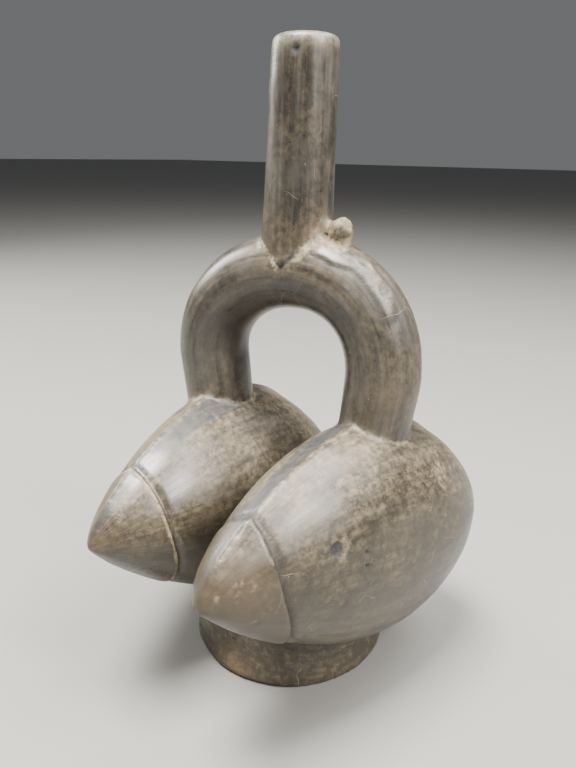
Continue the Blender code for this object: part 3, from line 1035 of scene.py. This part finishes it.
def vessel_skin(ray):
    """The vessel's outside with its relief and wear, and what its finish has to know at each point."""
    forms = outer_forms()
    trees = [surface_tree(thing) for thing in forms]
    skin = fused("vessel", forms, SKIN_GRID)
    mesh = skin.data
    points = smoothed(mesh, coordinates(mesh), SMOOTHING_PASSES)
    distances = distances_to(points, trees)
    form = np.argmin(distances, axis=0)
    beside = np.sort(distances, axis=0)[1]
    lobes = capped(points, form, distances)
    move_to(mesh, points)

    out = normals(mesh)
    tree = BVHTree.FromObject(skin, bpy.context.evaluated_depsgraph_get())
    rough = noise_at(points, *ROUGH_NOISE)
    pits = seen_places(tree, ray, PITS)
    depth = hollow_depth(points, pits, seen_places(tree, ray, CHIPS), rough)
    layer, off_scarp = flaked_layer(points, out, form, seen_line(tree, ray, SCARP), rough)
    dark_crease = crease(points, seen_line(tree, ray, DARK_CREASE))
    pale_crease = crease(points, seen_line(tree, ray, PALE_CREASE))
    swellings = noise_at(points, *SWELLING_NOISE) * SWELLING_HEIGHT
    ripples = noise_at(points, *RIPPLE_NOISE) * RIPPLE_HEIGHT
    crumbs = noise_at(points, *CRUMB_NOISE) * CRUMB_HEIGHT + rough * ROUGH_CRUMB_HEIGHT
    push = swellings + ripples + layer * SCARP_STEP + np.where(form >= KNOB, crumbs, 0)
    push += bell(beside, SEAM_WIDTH) * ROUGH_SEAM_HEIGHT * rough
    push -= depth + dark_crease * CREASE_DEPTH
    push[points[:, 2] < UNPUSHED_HEIGHT] = 0
    points = points + out * push[:, None]
    points[:, 2] = np.where(points[:, 2] < STANDING_HEIGHT, 0, points[:, 2])
    move_to(mesh, points)

    spots = marked(points, seen_places(tree, ray, DEPOSITS))
    rim_from, rim_to = WORN_RIM
    finish = {
        "deposit": deposit_held(points, form, beside, lobes, layer, pale_crease, spots),
        "warm": marked(points, seen_places(tree, ray, WARM_PATCHES)),
        "dark": darkness(points, form, depth, pits, lobes, dark_crease, off_scarp),
        "band_reflection": lobes["band_reflection"],
        "cap": lobes["cap"],
        "rim": smooth_step(RIM_HEIGHT - rim_from, RIM_HEIGHT - rim_to, points[:, 2]),
        "dust": film_held(mesh, form),
        "stroke": stroke_coordinates(points, form),
    }
    for name, values in finish.items():
        set_attribute(mesh, name, values)
    return skin


def hollowed(skin):
    """Cuts the chambers, the channel, the bore and the recess out of the skin's solid."""
    hollow = fused("hollow", [
        chamber("right_chamber", *LOBE_ENDS[RIGHT_LOBE]),
        chamber("left_chamber", *LOBE_ENDS[LEFT_LOBE]),
        stirrup_tube("channel", TUBE_WALL, CHANNEL_SIDES),
        bore("bore"),
        recess("recess"),
    ], HOLLOW_GRID)
    cut = skin.modifiers.new("hollow", "BOOLEAN")
    cut.operation = "DIFFERENCE"
    cut.solver = "EXACT"
    cut.object = hollow
    applied(skin)
    bpy.data.objects.remove(hollow)
    skin.data.shade_smooth()
    return skin


# A Mix node keeps its colour sockets at these places
COLOUR_A, COLOUR_B, COLOUR_RESULT = 6, 7, 2


class Nodes:
    """Short calls that add shader nodes and link them."""

    def __init__(self, material):
        self.tree = material.node_tree

    def add(self, kind, inputs=(), **settings):
        node = self.tree.nodes.new(kind)
        for name, value in settings.items():
            setattr(node, name, value)
        for name, value in dict(inputs).items():
            self.put(node.inputs[name], value)
        return node

    def put(self, socket, value):
        if isinstance(value, bpy.types.NodeSocket):
            self.tree.links.new(value, socket)
        else:
            socket.default_value = value

    def attribute(self, name, vector=False):
        node = self.add("ShaderNodeAttribute", attribute_name=name)
        return node.outputs["Vector" if vector else "Fac"]

    def noise(self, vector, scale, detail=4.0, roughness=0.55):
        inputs = {"Vector": vector, "Scale": scale, "Detail": detail, "Roughness": roughness}
        return self.add("ShaderNodeTexNoise", inputs).outputs["Fac"]

    def stretched(self, vector, scale):
        node = self.add("ShaderNodeVectorMath", {0: vector, 1: scale}, operation="MULTIPLY")
        return node.outputs["Vector"]

    def math(self, operation, first, second=0.0, clamp=False):
        node = self.add("ShaderNodeMath", {0: first, 1: second}, operation=operation, use_clamp=clamp)
        return node.outputs["Value"]

    def ramp(self, value, low, high, start=0.0, end=1.0):
        inputs = {"Value": value, "From Min": low, "From Max": high, "To Min": start, "To Max": end}
        node = self.add("ShaderNodeMapRange", inputs, interpolation_type="SMOOTHSTEP")
        return node.outputs["Result"]

    def times(self, first, second):
        return self.math("MULTIPLY", first, second)

    def plus(self, first, second, clamp=False):
        return self.math("ADD", first, second, clamp)

    def mix(self, share, first, second):
        node = self.add("ShaderNodeMix", data_type="RGBA")
        self.put(node.inputs["Factor"], share)
        self.put(node.inputs[COLOUR_A], first)
        self.put(node.inputs[COLOUR_B], second)
        return node.outputs[COLOUR_RESULT]


def clay_patterns(make):
    """The places and patterns that the clay's colour, gloss and relief share."""
    place = make.add("ShaderNodeTexCoord").outputs["Object"]
    stroke = make.attribute("stroke", vector=True)
    brown = make.noise(make.stretched(place, BROWN_STRETCH), BROWN_SCALE, detail=5.0)
    height = make.add("ShaderNodeSeparateXYZ", {"Vector": place}).outputs["Z"]
    height = make.plus(height, make.times(brown, LOW_SHADE_WOBBLE))
    return SimpleNamespace(
        place=place,
        stroke=stroke,
        brown=brown,
        # Where shade is painted low down
        low=make.ramp(height, *LOW_SHADE_HEIGHTS),
        clouds=make.noise(place, CLOUD_SCALE, detail=6.0),
        streaks=make.noise(make.stretched(stroke, STREAK_SCALE), 1.0, detail=6.0, roughness=0.62),
        fine_streaks=make.noise(make.stretched(stroke, FINE_STREAK_SCALE), 1.0, detail=3.0, roughness=0.6),
        grain=make.noise(place, GRAIN_SCALE, detail=4.0, roughness=0.7),
        specks=make.noise(place, SPECK_SCALE, detail=5.0, roughness=0.75),
    )


def tan_film(make, pattern):
    """A dusty film: broad patches, finely mottled, rubbed along the strokes, and thinner low down, where
    shade is painted.
    """
    broad = make.noise(pattern.place, FILM_SCALE, detail=8.0, roughness=0.68)
    patches = make.ramp(broad, 0.32, 0.62, start=0.10)
    fine = make.noise(pattern.place, MOTTLE_SCALE, detail=7.0, roughness=0.75)
    mottle = make.ramp(fine, 0.38, 0.62, start=0.15)
    strokes = make.noise(make.stretched(pattern.stroke, RUBBED_SCALE), 1.0, detail=6.0, roughness=0.7)
    rubbed = make.ramp(strokes, 0.36, 0.62, start=0.35)
    held = make.math("MAXIMUM", make.attribute("dust"), LEAST_FILM)
    film = make.times(make.times(patches, make.times(mottle, rubbed)), held)
    # The film is thinned low down as painted shade
    return make.times(film, make.ramp(pattern.low, 0.0, 1.0, start=1.0, end=LOW_SHADE_FILM))


def fine_scratches(make, place):
    """Thin, bent, broken lines."""
    warp = make.add("ShaderNodeTexNoise", {"Vector": place, "Scale": SCRATCH_BENDS, "Detail": 2.0})
    bend = make.stretched(warp.outputs["Color"], (SCRATCH_BEND, SCRATCH_BEND, SCRATCH_BEND))
    bent = make.add("ShaderNodeVectorMath", {0: place, 1: bend}, operation="ADD").outputs["Vector"]
    inputs = {"Vector": bent, "Scale": SCRATCH_CELLS}
    cells = make.add("ShaderNodeTexVoronoi", inputs, feature="DISTANCE_TO_EDGE")
    lines = make.ramp(cells.outputs["Distance"], 0.008, 0.001)
    return make.times(lines, make.ramp(make.noise(place, SCRATCH_BREAKS, detail=3.0), 0.56, 0.66))


def crumbly_deposit(make, place):
    # The pale deposit, with the painted highlight along the caps' lips, in crumbly patches
    patch = make.noise(place, DEPOSIT_SCALE, detail=7.0, roughness=0.72)
    held = make.plus(make.times(make.attribute("deposit"), 0.62), make.times(patch, 0.8))
    return make.ramp(held, 0.57, 0.84)


def clay_colour(make, pattern):
    """Sooty clay with brown clouds, strokes and a tan film, marked, scratched, and crusted with deposit;
    with shade painted on the lower parts and into the hollows, a painted reflection and shade on the keels'
    far flanks, and a painted highlight along the caps' lips.
    """
    colour = make.mix(make.ramp(pattern.clouds, 0.35, 0.68), SOOT, GREY_CLAY)
    colour = make.mix(make.ramp(pattern.brown, 0.50, 0.72, end=0.6), colour, BROWN_CLAY)
    colour = make.mix(make.ramp(pattern.streaks, 0.50, 0.70, end=0.26), colour, PALE_STROKE)
    colour = make.mix(make.ramp(pattern.streaks, 0.48, 0.34, end=0.65), colour, DARK_STROKE)
    # Painted shade on the lower parts
    colour = make.mix(make.times(pattern.low, LOW_SHADE_STRENGTH), colour, LOW_SHADE_BROWN)
    colour = make.mix(make.times(pattern.film, FILM_STRENGTH), colour, FILM_TAN)
    # Painted reflection and shade on the keel's far flank
    colour = make.mix(make.times(make.attribute("band_reflection"), BAND_REFLECTION_STRENGTH), colour, BAND_REFLECTION_GREY)
    cap = make.times(make.attribute("cap"), make.ramp(pattern.clouds, 0.4, 0.6, start=0.25, end=0.75))
    colour = make.mix(cap, colour, CAP_BROWN)
    colour = make.mix(make.times(pattern.warm, WARM_STRENGTH), colour, WARM_CLAY)
    rim = make.times(make.attribute("rim"), make.ramp(pattern.specks, 0.38, 0.62, start=0.1, end=0.7))
    colour = make.mix(rim, colour, RIM_TAN)
    colour = make.mix(make.times(pattern.scratches, SCRATCH_STRENGTH), colour, SCRATCH_PALE)
    tone = make.ramp(make.noise(pattern.place, CRUST_SCALE, detail=6.0, roughness=0.7), 0.38, 0.62)
    crust = make.mix(tone, DEPOSIT_BROWN, DEPOSIT_TAN)
    # Deposit crust, which also carries the painted highlight along the caps' lips
    colour = make.mix(make.times(pattern.deposit, DEPOSIT_STRENGTH), colour, crust)
    colour = make.mix(make.ramp(pattern.specks, 0.66, 0.72, end=0.6), colour, SPECK_PALE)
    # Painted shade in the hollows and along the steps
    return make.mix(pattern.dark, colour, SHADE_BLACK)


def clay_gloss(make, pattern):
    """Burnished where the clay is bare, and duller on the clouds, the film, the deposit and in the pits."""
    gloss = make.ramp(pattern.streaks, 0.3, 0.7, start=0.25, end=0.38)
    gloss = make.plus(gloss, make.ramp(pattern.clouds, 0.35, 0.7, start=-0.03, end=0.08))
    layers = (
        (pattern.deposit, DEPOSIT_DULLS),
        (pattern.film, FILM_DULLS),
        (pattern.warm, WARM_DULLS),
        (pattern.dark, DARK_DULLS),
    )
    for layer, dulling in layers:
        gloss = make.plus(gloss, make.times(layer, dulling), clamp=True)
    return gloss


def clay_relief(make, pattern):
    """Fine relief: strokes, grain, the deposit's crumbs, and scratches."""
    height = make.plus(
        make.times(pattern.streaks, STREAK_RELIEF),
        make.times(pattern.fine_streaks, FINE_STREAK_RELIEF),
    )
    height = make.plus(height, make.times(pattern.grain, GRAIN_RELIEF))
    height = make.plus(height, make.times(pattern.deposit, make.times(pattern.specks, DEPOSIT_RELIEF)))
    height = make.math("SUBTRACT", height, make.times(pattern.scratches, SCRATCH_RELIEF))
    inputs = {"Height": height, "Strength": BUMP_STRENGTH, "Distance": BUMP_HEIGHT}
    return make.add("ShaderNodeBump", inputs).outputs["Normal"]


def burnished_clay():
    material = bpy.data.materials.new("burnished_clay")
    material.use_nodes = True
    shader = material.node_tree.nodes["Principled BSDF"]
    make = Nodes(material)
    pattern = clay_patterns(make)
    pattern.film = tan_film(make, pattern)
    pattern.scratches = fine_scratches(make, pattern.place)
    pattern.deposit = crumbly_deposit(make, pattern.place)
    pattern.warm = make.times(make.attribute("warm"), make.ramp(pattern.specks, 0.35, 0.6, start=0.2))
    # Painted shade in the hollows, broken up by specks
    pattern.dark = make.times(make.attribute("dark"), make.ramp(pattern.specks, 0.34, 0.56, start=0.65))
    make.put(shader.inputs["Base Color"], clay_colour(make, pattern))
    make.put(shader.inputs["Roughness"], clay_gloss(make, pattern))
    make.put(shader.inputs["Normal"], clay_relief(make, pattern))
    shader.inputs["Specular IOR Level"].default_value = SPECULAR_LEVEL
    return material


def pale_floor():
    corners = [
        (-FLOOR_REACH, -FLOOR_REACH, 0),
        (FLOOR_REACH, -FLOOR_REACH, 0),
        (FLOOR_REACH, FLOOR_REACH, 0),
        (-FLOOR_REACH, FLOOR_REACH, 0),
    ]
    floor_mesh = bpy.data.meshes.new("floor")
    floor_mesh.from_pydata(corners, [], [(0, 1, 2, 3)])
    floor = bpy.data.objects.new("floor", floor_mesh)
    floor.location.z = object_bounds()[0][2]
    material = bpy.data.materials.new("pale_floor")
    material.use_nodes = True
    shader = material.node_tree.nodes["Principled BSDF"]
    shader.inputs["Base Color"].default_value = FLOOR_PALE
    shader.inputs["Roughness"].default_value = FLOOR_ROUGHNESS
    floor_mesh.materials.append(material)
    bpy.context.scene.collection.objects.link(floor)
    floor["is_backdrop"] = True


def soft_light(name, place, size, power):
    lamp = bpy.data.lights.new(name, "AREA")
    lamp.shape = "RECTANGLE"
    lamp.size, lamp.size_y = size
    lamp.energy = power
    lamp.color = LAMP_WARM
    thing = bpy.data.objects.new(name, lamp)
    thing.location = place
    thing.rotation_euler = (LIGHT_AIM - place).to_track_quat("-Z", "Y").to_euler()
    bpy.context.scene.collection.objects.link(thing)


def studio():
    world = bpy.data.worlds.new("studio")
    world.use_nodes = True
    background = world.node_tree.nodes["Background"]
    background.inputs["Color"].default_value = STUDIO_PALE
    background.inputs["Strength"].default_value = STUDIO_LIGHT
    bpy.context.scene.world = world
    for name, (place, size, power) in LIGHTS.items():
        soft_light(name, place, size, power)


def main():
    ray = photo_camera()
    vessel = hollowed(vessel_skin(ray))
    vessel.data.materials.clear()
    vessel.data.materials.append(burnished_clay())
    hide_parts("stirrup_spout_vessel")
    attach(vessel, "root")
    pale_floor()
    studio()


main()
